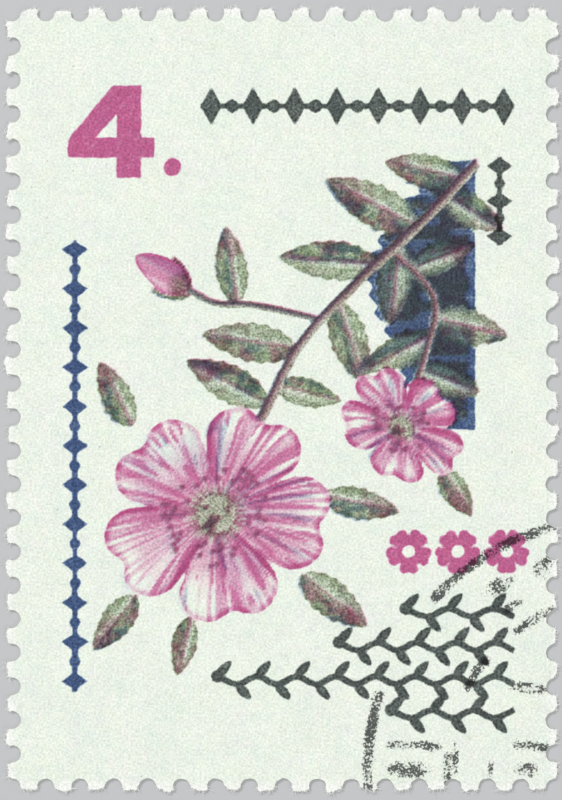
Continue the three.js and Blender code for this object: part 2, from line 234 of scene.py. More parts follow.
def petal_edges(blossom, steps=140):
    """The outline of an open blossom: notched lobes round its middle."""
    share = np.arange(steps) / steps
    across = ((share * PETALS["count"]) % 1 - 0.5) * 2
    lobe = np.sqrt(1 - np.abs(across) ** PETALS["roundness"])
    notch = PETALS["notch"] * np.exp(-((across / PETALS["notch_width"]) ** 2))
    reach = blossom["radius"] * (PETALS["root"] + (1 - PETALS["root"]) * lobe - notch)
    turn = 2 * np.pi * share + math.radians(blossom["turn"])
    u, v = reach * np.cos(turn), reach * np.sin(turn) * blossom["squash"]
    x, y = turned(u, v, (0, 0), -blossom["tilt"])
    return closed(np.stack([x + blossom["at"][0], y + blossom["at"][1]], 1))


def seeded(seed):
    """The same random numbers as the part's source draws."""
    state = seed
    while True:
        state = (state + 0x6D2B79F5) & 0xFFFFFFFF
        t = ((state ^ (state >> 15)) * (1 | state)) & 0xFFFFFFFF
        t = ((t + (((t ^ (t >> 7)) * (61 | t)) & 0xFFFFFFFF)) ^ t) & 0xFFFFFFFF
        yield (t ^ (t >> 14)) / 2**32


def patch_edges():
    """The whole patch, with what is printed over it."""
    random = seeded(PATCH_SEED)
    right, stroke, strokes = PATCH["right"], PATCH["stroke"], PATCH["strokes"]
    points = [(right, PATCH["top"])]
    for i in range(strokes):
        high = PATCH["top"] - i * stroke
        swell = math.sin(math.pi * (i + 0.5) / strokes)
        swell *= 1 - PATCH_VARIED * next(random)
        left = right - PATCH["least"] - (PATCH["most"] - PATCH["least"]) * swell
        points.append((left, high - 0.1))
        points.append((left - 0.2, high - stroke / 2))
        points.append((left + 0.1, high - stroke + 0.1))
    points.append((right, PATCH["top"] - strokes * stroke))
    return closed(points)


def curve_points(points, steps=8):
    """Points on a smooth curve through the given ones."""
    p = np.array([points[0], *points, points[-1]], float)
    found = []
    for a, b, c, d in zip(p, p[1:], p[2:], p[3:]):
        for t in np.arange(steps) / steps:
            bend = (2 * a - 5 * b + 4 * c - d) * t**2 + (3 * b - a - 3 * c + d) * t**3
            found.append((2 * b + (c - a) * t + bend) / 2)
    return np.array([*found, p[-1]])


def stroke_distance(x, y, points, width):
    """Signed distance to a stroke along a smooth curve, and the offset across it."""
    nearest = np.full(x.shape, np.inf)
    offset = np.zeros(x.shape)
    line = curve_points(points)
    for (ax, ay), (bx, by) in zip(line, line[1:]):
        dx, dy = bx - ax, by - ay
        length = math.hypot(dx, dy)
        share = np.clip(((x - ax) * dx + (y - ay) * dy) / length**2, 0, 1)
        away = np.hypot(x - ax - share * dx, y - ay - share * dy)
        closer = away < nearest
        nearest = np.where(closer, away, nearest)
        offset = np.where(closer, ((y - ay) * dx - (x - ax) * dy) / length, offset)
    return nearest - width / 2, offset


def lay(tones, inside, **values):
    """Puts the given tones on the plates where a shape lies, over what was there."""
    for plate, value in values.items():
        tones[plate] = np.where(inside, np.clip(value, 0, MOST_INK), tones[plate])


def paint_patch(x, y, tones, patch):
    """The patch: level strokes of blue, and a darker core where three inks meet."""
    strokes = noise(x / 1.6, y / 0.16, 11) * 0.6 + noise(x / 0.7, y / 0.1, 12) * 0.4
    wavy = 0.8 * (noise(x / 1.3, y / 0.32, 14) - 0.5) + 0.3 * (noise(x / 0.4, y / 0.2, 17) - 0.5)
    core = smooth(0.2, 0.5, wavy - patch) * smooth(0.28, 0.45, PATCH["right"] - x)
    core *= 1 - 0.8 * smooth(0.7, 0.82, noise(x / 1.4, y / 0.5, 15))
    cloudy = noise(x / 0.8, y / 0.6, 16)
    brown = smooth(0.5, 0.8, noise(x / 0.22, y / 0.22, 18))
    blue = 1.02 - 0.36 * smooth(0.5, 0.8, strokes) * smooth(-1.2, -0.1, patch)
    blue -= 0.2 * (1 - core) * noise(x / 0.5, y / 0.3, 13) + 0.36 * core
    pink = core * (0.14 + 0.12 * cloudy + 0.2 * brown)
    green = core * (0.88 - 0.2 * cloudy)
    lay(tones, patch < SPILL["picture"], blue=blue, pink=pink, green=green)


def inside_leaf(along, across):
    """Where one leaf may be painted, a little past its own outline."""
    spread = np.sin(np.pi * np.clip(along, 0, 1) ** LEAF_BULGE) ** LEAF_BLUNT
    return (np.abs(across) < 1.12 * spread + 0.16) & (along > -0.03) & (along < 1.04)


def leaf_veins(along, across):
    """Slanting side veins, which fade towards the midrib and the leaf's edge."""
    away = np.abs(across)
    vein = np.abs((along * VEINS_PER_SIDE - 0.9 * away) % 1 - 0.5) * 2
    return smooth(0.3, 0.08, vein) * smooth(0.05, 0.25, away) * smooth(1.0, 0.7, away)


def paint_leaf(x, y, tones, foliage, patch, number):
    """One leaf: a lit side and a shaded one, a midrib and veins, and touches of red and blue."""
    at, angle, length, width = LEAVES[number]
    u, v = turned(x, y, at, angle)
    along, across = u / length, 2 * v / width
    seed = 100 + 7 * number
    light_side = 1 if number % 2 else -1
    wavy = 0.2 * (noise(u / 0.5, v / 0.3, 90 + number) - 0.5)
    lit = smooth(-0.35, 0.35, across * light_side + wavy)
    shade = 1 - lit
    veins = leaf_veins(along, across)
    rim = smooth(-0.18, -0.03, foliage)
    rib = smooth(0.1, 0.04, np.abs(v)) * smooth(1, 0.8, along)
    highlight = smooth(0.19, 0.09, np.abs(v - light_side * 0.17)) * smooth(0.95, 0.5, along)

    mottled = noise(x / 0.35, y / 0.35, seed)
    speckled = noise(x / 0.2, y / 0.2, seed + 2)
    strokes = noise(u / 0.9, v / 0.13, seed + 1)
    reds = smooth(0.44, 0.72, 0.6 * noise(u / 0.8, v / 0.3, seed + 3) + 0.4 * speckled)
    blues = smooth(0.42, 0.7, 0.6 * noise(u / 1.1, v / 0.35, seed + 4) + 0.4 * (1 - speckled))
    tip = smooth(0.45, 0.95, along + 0.5 * (mottled - 0.5))
    red_tip = hashed(np.array([number]), np.array([3]), 2)[0] * tip

    green = 0.56 + 0.14 * shade + 0.1 * veins + 0.14 * rim
    green += 0.3 * (strokes - 0.5) + 0.34 * (mottled - 0.5)
    pink = 0.34 * rib + 0.05 * rim + 0.42 * reds * (0.12 + 0.88 * shade) + 0.4 * red_tip
    blue = 0.42 * blues * (0.1 + 0.9 * shade) + 0.1 * veins * (1 - 0.6 * lit)
    over_patch = smooth(0.1, -0.3, patch)
    blue = np.maximum(blue, over_patch * (0.08 + 0.34 * shade + 0.2 * rim))
    bright = 1 - 0.5 * highlight
    inside = inside_leaf(along, across) & (foliage < SPILL["foliage"])
    lay(tones, inside, green=green * bright, pink=pink, blue=blue * bright)


def paint_stroke(x, y, tones, foliage, points, width):
    """A stem or branch, lighter along one side."""
    distance, offset = stroke_distance(x, y, points, width)
    light = smooth(-0.9, 0.9, 2 * offset / width)
    cloudy = noise(x / 0.5, y / 0.5, 51)
    green = 0.62 - 0.3 * light + 0.2 * cloudy
    pink = 0.6 - 0.52 * light + 0.1 * cloudy
    blue = 0.34 - 0.42 * light
    inside = (distance < SPILL["stroke"]) & (foliage < SPILL["foliage"])
    lay(tones, inside, green=green, pink=pink, blue=blue)


def petal_tones(x, y, radius, out, turn, distance):
    """Green, pink and blue of the petals: strokes that run outward, deeper at rims and overlaps."""
    across = ((turn / (2 * np.pi) * PETALS["count"]) % 1 - 0.5) * 2
    wide = radius * 2.6
    ring_x, ring_y = np.cos(turn) * wide, np.sin(turn) * wide
    fine = noise(ring_x + 40, ring_y + out * 1.2, 21) * 0.5
    fine += noise(ring_x * 2.1, ring_y * 2.1 + out * 2.5, 22) * 0.5
    streaks = smooth(0.36, 0.66, fine)
    broad = noise(x / 1.1, y / 1.1, 23)
    dabs = noise(ring_x * 1.5 + 9, ring_y * 1.5 + out * radius * 0.9, 25)
    dabs = smooth(0.6, 0.7, dabs) * smooth(0.98, 0.85, out)
    violet = noise(ring_x * 0.8 + 23, ring_y * 0.8 + out * radius * 0.5, 27)
    rim = smooth(-0.34, -0.08, distance)
    pale = smooth(-1.2, -0.55, distance) * (1 - rim)

    pink = 0.21 + 0.33 * smooth(0.9, 0.3, out) + 0.46 * (streaks - 0.42) + 0.2 * (broad - 0.5)
    pink += dabs * 0.75 * (0.98 - pink)
    pink += 0.3 * smooth(0.45, 1.0, across) * smooth(1.02, 0.5, out) * (0.4 + streaks)
    pink += 0.2 * smooth(0.14, 0.03, np.abs(across)) * smooth(0.85, 0.3, out)
    pink += 0.5 * rim * (0.4 + 0.8 * streaks) - 0.06 * pale
    pink *= 1 - 0.7 * smooth(0.33, 0.22, out)
    blue = 0.1 * smooth(0.78, 1.0, across) * smooth(0.9, 0.45, out) * smooth(0.4, 0.7, fine)
    blue += 0.05 * smooth(0.66, 0.78, noise(x / 1.3, y / 1.3, 26)) * (1 - streaks)
    blue += 0.2 * smooth(0.76, 0.84, violet) * smooth(0.95, 0.75, out)
    green = 0.3 * smooth(0.31, 0.2, out) * (0.6 + 0.6 * broad)
    return green, pink, blue


def paint_blossom(x, y, tones, blossom, distance):
    """An open blossom: its petals, a lumpy middle, and stamens scattered round it."""
    radius = blossom["radius"]
    u, v = turned(x, y, blossom["at"], blossom["tilt"])
    u, v = turned(u, v / blossom["squash"], (0, 0), blossom["turn"])
    out = np.hypot(u, v) / radius
    turn = np.arctan2(v, u) % (2 * np.pi)
    green, pink, blue = petal_tones(x, y, radius, out, turn, distance)

    middle = smooth(*MIDDLE_EDGE, out)
    lumps = noise(u / 0.28, v / 0.28, 24)
    green += middle * (0.56 + 0.6 * (lumps - 0.5) - green)
    pink += middle * (0.1 + 0.6 * smooth(0.5, 0.75, lumps) - pink)
    blue += middle * (0.2 * smooth(0.6, 0.8, lumps) - blue)

    random = np.random.default_rng(STAMENS["seed"])
    start = STAMENS["start"] * radius
    for _ in range(blossom["stamens"]):
        angle = random.uniform(0, 360)
        reach = random.uniform(STAMENS["shortest"], STAMENS["longest"]) * radius
        lu, lv = turned(u, v, (0, 0), angle)
        bent = lv - STAMENS["bend"] * random.uniform(-1, 1) * (lu - start) ** 2
        thread = smooth(0.085, 0.03, np.abs(bent)) * (lu > start) * (lu < reach)
        tip = smooth(0.2, 0.1, np.hypot(lu - reach, bent))
        pink = np.maximum(pink, np.maximum(0.7 * thread, 1.0 * tip))
        green = np.maximum(green, np.maximum(0.06 * thread, 0.2 * tip))
        blue = np.maximum(blue, 0.1 * tip)
    lay(tones, distance < SPILL["picture"], green=green, pink=pink, blue=blue)


def paint_bud(x, y, tones, distance):
    """The bud: pink strokes along it, and green where it leaves the branch."""
    u, v = turned(x, y, BUD["at"], BUD["angle"])
    along = u / BUD["length"]
    strokes = noise(u / 1.2, v / 0.14, 41)
    rim = smooth(-0.2, -0.04, distance)
    pink = 0.42 + 0.5 * (strokes - 0.4) + 0.36 * smooth(0.2, -0.6, v) + 0.3 * rim
    blue = 0.24 * smooth(0.1, -0.6, v) * strokes
    green = 0.6 * smooth(0.42, 0.15, along + 0.2 * np.abs(v))
    lay(tones, distance < SPILL["picture"], green=green, pink=pink, blue=blue)


def arc_distance(x, y, radius, stroke, arcs):
    """Signed distance to a row of arcs round the origin."""
    out, angle = np.hypot(x, y), np.degrees(np.arctan2(y, x)) % 360
    found = np.full(x.shape, FAR)
    for low, high in arcs:
        past = np.radians(np.maximum(np.maximum(low - angle, angle - high), 0)) * out
        found = np.minimum(found, np.hypot(out - radius, past) - stroke / 2)
    return found


def bar_distance(x, y, start, end, stroke):
    """Signed distance to a straight bar with round ends."""
    dx, dy = end[0] - start[0], end[1] - start[1]
    dot = (x - start[0]) * dx + (y - start[1]) * dy
    share = np.clip(dot / (dx * dx + dy * dy), 0, 1)
    return np.hypot(x - start[0] - share * dx, y - start[1] - share * dy) - stroke / 2


def paint_mark(x, y):
    """The worn cancelling mark: how much ink it left, from 0 to 1."""
    rx, ry = x - MARK["at"][0], y - MARK["at"][1]
    outer = arc_distance(rx, ry, MARK["outer"], MARK["stroke"], OUTER_ARCS)
    inner = arc_distance(rx, ry, MARK["inner"], MARK["inner_stroke"], INNER_ARCS)
    bars = [bar_distance(x, y, *ends, MARK["inner_stroke"]) for ends in MARK_BARS]
    distance = np.minimum.reduce([outer, inner, *bars])
    patchy = noise(x / 0.6, y / 0.6, 71)
    fine = noise(x / 0.22, y / 0.22, 72)
    distance = distance + 0.12 * (fine - 0.5) + 0.1 * (noise(x / 0.35, y / 0.35, 73) - 0.5)
    worn = smooth(0.3, 0.6, 0.55 * patchy + 0.45 * fine)
    tone = smooth(0.24, -0.04, distance) * (0.62 + 0.38 * worn)
    tone = np.maximum(tone, 0.5 * smooth(0.45, 0.05, distance) * smooth(0.5, 0.85, fine))
    for at, half_length, half_width, angle in MARK_SMUDGES:
        u, v = turned(x, y, at, angle)
        reach = np.hypot(u / half_length, v / half_width)
        tone = np.maximum(tone, smooth(1.4, 0.6, reach) * (0.48 + 0.42 * smooth(0.3, 0.65, fine)))
    return tone


def paint(x, y):
    """Each plate's tone and signed distance to its ink, at places on the sheet."""
    tones = {plate: np.zeros(x.shape) for plate in INKS}
    blossoms = [signed_distance(x, y, petal_edges(b)) for b in BLOSSOMS]
    bud = distance_to(x, y, "bud_ink")
    foliage = distance_to(x, y, "foliage_ink")
    patch = signed_distance(x, y, patch_edges())
    numeral = distance_to(x, y, "numeral")
    florets = distance_to(x, y, "floret")
    chain = distance_to(x, y, "left_chain")
    grey = distance_to(x, y, "top_chain", "right_chain", "vine")

    paint_patch(x, y, tones, patch)
    for number in range(len(LEAVES)):
        paint_leaf(x, y, tones, foliage, patch, number)
    for branch in BRANCHES:
        paint_stroke(x, y, tones, foliage, branch, BRANCH_WIDTH)
    paint_stroke(x, y, tones, foliage, STEM, STEM_WIDTH)
    for blossom, distance in zip(BLOSSOMS, blossoms):
        paint_blossom(x, y, tones, blossom, distance)
    paint_bud(x, y, tones, bud)
    solid = 1.02 + 0.1 * (noise(x / 0.3, y / 0.3, 61) - 0.5)
    solid -= 0.22 * smooth(0.66, 0.9, noise(x / 0.13, y / 0.13, 62))
    thinner = 0.12 * smooth(0.4, 0.8, noise(x / 0.45, y / 0.45, 63))
    lay(tones, np.minimum(numeral, florets) < SPILL["solid"], pink=solid)
    lay(tones, chain < SPILL["solid"], blue=solid)
    lay(tones, grey < SPILL["solid"], grey=solid + 0.02 - thinner)

    ragged = 0.05 * (noise(x / 0.16, y / 0.16, 5) + noise(x / 0.4, y / 0.4, 6) - 1)
    picture = np.minimum.reduce([foliage, *blossoms, bud, patch])
    edges = {
        "pink": np.minimum.reduce([picture, numeral, florets]) + ragged,
        "green": picture + ragged,
        "blue": np.minimum(picture, chain) + ragged,
        "grey": grey + 0.5 * ragged,
    }
    return tones, edges


# The sheet's outline, made finer and ragged

OUTLINE_STEP = 0.05
# How many times the holes' walls and the teeth's tips are softened, and over which distances from
# the sheet's sides the tips' wear and their torn edge fade out
HOLE_PASSES, TIP_PASSES = 5, 16
WORN_FADE, TORN_FADE = (0.5, 0.15), (0.3, 0.16)
# Bumps of the torn tips and of the punched holes: height, length, seed and the level that stays put
TORN_BUMPS = [(0.1, 0.2, 1, 0.4), (0.09, 0.06, 2, 0.4), (0.14, 0.6, 4, 0.5)]
HOLE_BUMPS = [(0.035, 0.15, 3, 0.5)]
sheet_low, sheet_high = [np.array(corner)[:2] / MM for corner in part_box("paper_sheet")]


def softened(values, times):
    """A closed row of points with its corners rounded, the more the more times."""
    for _ in range(times):
        values = (np.roll(values, 1, axis=0) + 2 * values + np.roll(values, -1, axis=0)) / 4
    return values


def evenly(points):
    """Points at even steps along a closed outline."""
    looped = np.vstack([points, points[:1]])
    along = np.concatenate([[0], np.cumsum(np.hypot(*np.diff(looped, axis=0).T))])
    count = round(along[-1] / OUTLINE_STEP)
    places = np.arange(count) * along[-1] / count
    return np.stack([np.interp(places, along, looped[:, axis]) for axis in (0, 1)], 1)


def side_distance(points):
    """How far points lie in from the nearest side of the sheet's box."""
    return np.minimum(points - sheet_low, sheet_high - points).min(1)


def bumps(points, kinds):
    """How far uneven paper stands out at the points, below 0 for inward."""
    x, y = points.T
    found = np.zeros(x.shape)
    for height, size, seed, level in kinds:
        found += height * (noise(x / size, y / size, seed) - level)
    return found


def ragged_outline():
    """The CAD outline in short steps, with its teeth worn round and torn rough: points, directions
    outward, and a share from 0 in the holes to 1 on the torn tips."""
    edges = rim_edges("paper_sheet")
    following = {tuple(start): tuple(end) for start, end in edges}
    corners = [tuple(edges[0][0])]
    while following[corners[-1]] != corners[0]:
        corners.append(following[corners[-1]])
    points = evenly(np.array(corners))
    worn = smooth(*WORN_FADE, side_distance(points))[:, None]
    holes, tips = softened(points, HOLE_PASSES), softened(points, TIP_PASSES)
    points = evenly((1 - worn) * holes + worn * tips)
    ahead = np.roll(points, -1, axis=0) - np.roll(points, 1, axis=0)
    outward = softened(np.stack([ahead[:, 1], -ahead[:, 0]], 1), 4)
    outward /= np.hypot(*outward.T)[:, None]
    torn = smooth(*TORN_FADE, side_distance(points))
    moved = bumps(points, TORN_BUMPS) * torn + bumps(points, HOLE_BUMPS) * (1 - torn)
    return points + outward * moved[:, None], outward, torn


outline, outward, torn = ragged_outline()


def inside_outline(x, y):
    """Whether places lie within the ragged outline."""
    inside = np.zeros(x.shape, bool)
    for (ax, ay), (bx, by) in closed(outline):
        if ay != by:
            inside ^= ((ay > y) != (by > y)) & (x < ax + (y - ay) * (bx - ax) / (by - ay))
    return inside


# Points nearer than this count as one
SAME_POINT = 1e-7


def triangulate(points, loops):
    """Triangles over points in the plane, with the loops of point numbers kept as edges."""
    edges = [(int(a), int(b)) for loop in loops for a, b in zip(loop, np.roll(loop, -1))]
    coords = [Vector((float(x), float(y))) for x, y in points]
    faces, origins = delaunay_2d_cdt(coords, edges, [], 0, SAME_POINT)[2:4]
    number = np.array([origin[0] for origin in origins])
    return number[np.array(faces)]


def lines(stops):
    """Positions of grid lines: from each stop to the next at about the given spacing."""
    found = []
    for (start, step), (end, _) in zip(stops, stops[1:]):
        found.append(np.linspace(start, end, round((end - start) / step), endpoint=False))
    return np.concatenate([*found, [stops[-1][0]]])


# The grid of the printed face is fine where there is ink
GRID_X = lines([(-12.3, 0.2), (-10.7, 0.105), (12.3, 0)])
GRID_Y = lines([(-17.8, 0.105), (15.3, 0.25), (17.8, 0)])
# Round the grid, loose points stand this far apart, and this clear of the grid and the outline
BORDER_STEP, GRID_CLEAR, OUTLINE_CLEAR = 0.15, 0.1, 0.07
# The walls' rings between the printed face and the underside: a seed and a share of the height
WALL_RINGS = [(8, 0.68), (10, 0.34)]
WAVE_DEPTH = 0.004
# How white the walls and the underside are, from paper to torn fibres, and between which distances
# from the sheet's sides the face turns white
WALL_WHITE, WHITE_FADE = 0.8, (0.5, 0.1)
SHARP_ANGLE = 40


def new_piece(name, points, faces, material):
    """A mesh object in the scene, from points in millimetres."""
    mesh = bpy.data.meshes.new(name)
    mesh.from_pydata((np.asarray(points) * MM).tolist(), [], faces)
    mesh.materials.append(material)
    mesh.polygons.foreach_set("use_smooth", [True] * len(mesh.polygons))
    mesh.set_sharp_from_angle(angle=math.radians(SHARP_ANGLE))
    mesh.validate()
    piece = bpy.data.objects.new(name, mesh)
    bpy.context.scene.collection.objects.link(piece)
    return piece


def beyond_grid(x, y, clear=0.0):
    """Whether places lie outside the grid by more than the given distance."""
    beyond = (x < GRID_X[0] - clear) | (x > GRID_X[-1] + clear)
    return beyond | (y < GRID_Y[0] - clear) | (y > GRID_Y[-1] + clear)


def flat_border():
    """Loose points between the grid and the outline, so that the mark stays sharp across it."""
    steps = [np.arange(low, high, BORDER_STEP) for low, high in zip(sheet_low, sheet_high)]
    x, y = [part.ravel() for part in np.meshgrid(*steps)]
    outer = beyond_grid(x, y, GRID_CLEAR)
    x, y = x[outer], y[outer]
    clear = signed_distance(x, y, closed(outline)) < -OUTLINE_CLEAR
    return np.stack([x[clear], y[clear]], 1)


def ring_faces(number, flat):
    """Triangles from the grid's edge over the loose points to the outline."""
    sides = [number[0, :-1], number[:-1, -1], number[-1, :0:-1], number[:0:-1, 0]]
    edge_loop = np.concatenate(sides)
    numbers = np.concatenate([edge_loop, np.arange(number.size, len(flat))])
    points = flat[numbers]
    loops = [np.arange(len(edge_loop)), np.arange(len(points) - len(outline), len(points))]
    ring = triangulate(points, loops)
    x, y = points[ring].mean(1).T
    return numbers[ring[beyond_grid(x, y) & inside_outline(x, y)]]


def sheet_mesh(material):
    """The sheet as one closed mesh: printed face, torn walls and underside."""
    gx, gy = np.meshgrid(GRID_X, GRID_Y)
    grid = np.stack([gx.ravel(), gy.ravel()], 1)
    number = np.arange(gx.size).reshape(gx.shape)
    corners = [number[:-1, :-1], number[:-1, 1:], number[1:, 1:], number[1:, :-1]]
    quads = np.stack(corners, -1).reshape(-1, 4)
    flat = np.concatenate([grid, flat_border(), outline])
    ring = ring_faces(number, flat)

    # The printed face is very slightly wavy, and the walls are pulled out where the paper is torn
    wave = noise(flat[:, 0] / 0.9, flat[:, 1] / 0.9, 9) - 1
    places, levels = [flat], [SHEET_TOP + WAVE_DEPTH * wave]
    x, y = outline.T
    count = len(outline)
    for seed, share in WALL_RINGS:
        pulled = (0.02 + 0.06 * torn) * (noise(x / 0.09, y / 0.09, seed) - 0.35)
        places.append(outline + pulled[:, None] * outward)
        levels.append(np.full(count, SHEET_LOW + share * (SHEET_TOP - SHEET_LOW)))
    places.append(outline)
    levels.append(np.full(count, SHEET_LOW))
    loop = np.arange(count)
    rings = [len(flat) - count + layer * count + loop for layer in range(len(places))]
    walls = [np.stack([b, np.roll(b, -1), np.roll(a, -1), a], 1) for a, b in zip(rings, rings[1:])]
    under = triangulate(outline, [loop])
    under = under[inside_outline(*outline[under].mean(1).T)]
    under = rings[-1][under][:, ::-1]

    points = np.column_stack([np.concatenate(places), np.concatenate(levels)])
    faces = [*quads.tolist(), *ring.tolist(), *np.concatenate(walls).tolist(), *under.tolist()]
    piece = new_piece("printed_sheet", points, faces, material)
    return piece, grid, flat, len(points)


def add_values(piece, name, values, rest, count):
    """Writes a number on each of the sheet's points, the same one on all that aren't given."""
    every = np.full(count, rest, np.float32)
    every[: len(values)] = values
    piece.data.attributes.new(name, "FLOAT", "POINT").data.foreach_set("value", every)


def add_print(piece, grid, flat, count):
    """Each plate's tone and distance, the mark's ink, and how torn the paper is."""
    for (dx, dy), plates in REGISTER.items():
        tones, edges = paint(grid[:, 0] - dx, grid[:, 1] - dy)
        for plate in plates:
            add_values(piece, plate + "_tone", tones[plate], 0, count)
            add_values(piece, plate + "_edge", edges[plate], FAR, count)
    x, y = flat.T
    add_values(piece, "mark_tone", paint_mark(x, y), 0, count)
    inward = side_distance(flat) + 0.3 * (noise(x / 0.3, y / 0.3, 18) - 0.5)
    add_values(piece, "torn_white", smooth(*WHITE_FADE, inward), WALL_WHITE, count)


# Materials


class Graph:
    """A material's nodes, with short calls for the ones that repeat."""

    def __init__(self, name):
        self.material = bpy.data.materials.new(name)
        self.material.use_nodes = True
        self.tree = self.material.node_tree
        self.shader = self.tree.nodes["Principled BSDF"]
        self.place = self.tree.nodes.new("ShaderNodeTexCoord").outputs["Object"]

    def node(self, kind, inputs, **settings):
        """A new node. Its inputs go by name or number, and are values or other nodes' sockets."""
        made = self.tree.nodes.new("ShaderNode" + kind)
        for name, value in settings.items():
            setattr(made, name, value)
        for key, value in inputs.items():
            if isinstance(value, bpy.types.NodeSocket):
                self.tree.links.new(value, made.inputs[key])
            else:
                made.inputs[key].default_value = value
        return made

    def math(self, operation, first, second=0.0, clamp=False):
        inputs = {0: first, 1: second}
        return self.node("Math", inputs, operation=operation, use_clamp=clamp).outputs[0]

    def multiply_add(self, value, factor, added):
        """A value times a factor, and a number added to it."""
        inputs = {0: value, 1: factor, 2: added}
        return self.node("Math", inputs, operation="MULTIPLY_ADD").outputs[0]

    def vector(self, operation, *values):
        return self.node("VectorMath", dict(enumerate(values)), operation=operation).outputs[0]

    def smooth(self, start, end, value):
        """From 0 at start to 1 at end, with soft ends. Start may be the larger."""
        inputs = {"Value": value, "From Min": start, "From Max": end}
        return self.node("MapRange", inputs, interpolation_type="SMOOTHSTEP").outputs["Result"]

    def noise(self, size, detail=2.0, at=None):
        """Noise with features of the given size in millimetres: its value and its colour."""
        inputs = {"Vector": at or self.place, "Scale": 1 / (size * MM), "Detail": detail}
        made = self.node("TexNoise", inputs, noise_dimensions="2D")
        return made.outputs["Fac"], made.outputs["Color"]

    def stretched(self, angle, along, across):
        """Coordinates turned and squeezed, so that noise of size 1 mm makes streaks."""
        rotation = (0, 0, math.radians(angle))
        place = self.node("Mapping", {"Vector": self.place, "Rotation": rotation}).outputs[0]
        scale = (1 / along, 1 / across, 1)
        return self.node("Mapping", {"Vector": place, "Scale": scale}).outputs[0]

    def cells(self, size):
        """Small cells: three random numbers for each, and the distance from its middle."""
        inputs = {"Vector": self.place, "Scale": 1 / (size * MM)}
        made = self.node("TexVoronoi", inputs, voronoi_dimensions="2D")
        split = self.node("SeparateColor", {"Color": made.outputs["Color"]})
        return list(split.outputs), made.outputs["Distance"]

    def attribute(self, name):
        """A number that is written on the mesh's points."""
        return self.node("Attribute", {}, attribute_name=name).outputs["Fac"]

    def mix(self, blend, share, first, second):
        """The first colour, blended with the second one by the given share."""
        colours = [c if isinstance(c, bpy.types.NodeSocket) else (*c, 1.0) for c in (first, second)]
        inputs = {0: share, 6: colours[0], 7: colours[1]}
        return self.node("Mix", inputs, data_type="RGBA", blend_type=blend).outputs[2]

    def tinted(self, colour, random_colour, strength):
        """A colour times one plus the swing about its middle of a random colour or value."""
        low = (1 - strength / 2,) * 3
        swing = self.vector("MULTIPLY_ADD", random_colour, (strength,) * 3, low)
        return self.mix("MULTIPLY", 1.0, colour, swing)

    def finish(self, colour, roughness, height, depth):
        """Feeds the shader; depth is the bump's height in millimetres."""
        bump = self.node("Bump", {"Height": height, "Distance": depth * MM, "Strength": 1.0})
        self.tree.links.new(bump.outputs[0], self.shader.inputs["Normal"])
        self.tree.links.new(colour, self.shader.inputs["Base Color"])
        self.tree.links.new(roughness, self.shader.inputs["Roughness"])
        return self.material


# The plates' grain: the size of its cells in millimetres, and how far it swings a half tone
PLATE_GRAIN, PLATE_SWING = 0.056, 0.5
# Ink fades in from the first distance to the second, and is squeezed darker between the other two
INK_EDGE, SQUEEZED_EDGE = (0.06, -0.05), (-0.17, -0.05)
# How much lighter each ink is inside than at its squeezed edge, and how much grain it shows
SQUEEZE = {"pink": 0.015, "green": 0.03, "blue": 0.03, "grey": 0.12}
GRAINY = {"pink": 1.0, "green": 2.2, "blue": 2.0, "grey": 2.8}
# Paper fibres in two directions, and specks
FIBRE_ANGLES, FIBRE_TINT = (25, 115), (0.94, 0.95, 0.94)
SPECK_SIZE, SPECK_COLOUR = 0.25, (0.62, 0.6, 0.53)
# The gum, its roller streaks, and the painted shade in its cracks
GUM_COLOUR, GUM_STREAK, GUM_CRACK_SHADE = (0.80, 0.745, 0.60), (0.94, 0.915, 0.86), (0.9, 0.87, 0.8)
FLOOR_COLOUR = (0.53, 0.54, 0.55)
PAPER_SPECULAR, GUM_SPECULAR = 0.25, 0.45


def paper_colour(g):
    """Uncoated paper: cloudy, grained, whiter where it is torn, with fibres and a few specks."""
    cloud, tint = g.noise(0.5, detail=1.0)
    colour = g.tinted(PAPER_COLOUR, tint, 0.07)
    slow, slow_tint = g.noise(2.2, detail=1.5)
    colour = g.tinted(g.tinted(colour, slow_tint, 0.05), slow, 0.06)
    colour = g.mix("MIX", g.attribute("torn_white"), colour, TORN_WHITE)
    colour = g.tinted(colour, g.noise(0.11, detail=1.5)[0], 0.46)
    colour = g.tinted(colour, cloud, 0.07)
    for angle in FIBRE_ANGLES:
        fibre = g.noise(1.0, detail=0.0, at=g.stretched(angle, 0.7, 0.07))[0]
        colour = g.mix("MULTIPLY", g.smooth(0.62, 0.8, fibre), colour, FIBRE_TINT)
    (random, size, _), distance = g.cells(SPECK_SIZE)
    near = g.smooth(0.0, -0.12, g.math("SUBTRACT", distance, g.multiply_add(size, 0.2, 0.06)))
    speck = g.math("MULTIPLY", g.smooth(0.99, 0.998, random), near)
    return g.mix("MULTIPLY", speck, colour, SPECK_COLOUR)


def add_ink(g, density, plate, random):
    """One plate's ink: the density of the print with it, and how much of it lies there."""
    tone = g.attribute(plate + "_tone")
    distance = g.attribute(plate + "_edge")
    half_tone = g.math("MULTIPLY", tone, g.math("SUBTRACT", 1.0, tone))
    reach = g.math("MULTIPLY", half_tone, PLATE_SWING)
    swing = g.math("MULTIPLY", g.math("SUBTRACT", random, 0.5), reach)
    rim = g.smooth(*SQUEEZED_EDGE, distance)
    squeezed = g.multiply_add(rim, SQUEEZE[plate], 1 - SQUEEZE[plate])
    ink = g.math("MULTIPLY", g.math("ADD", tone, swing), squeezed)
    ink = g.math("MULTIPLY", ink, g.smooth(*INK_EDGE, distance))
    absorbs = [math.log(share) for share in INKS[plate]]
    return g.vector("MULTIPLY_ADD", ink, absorbs, density), ink


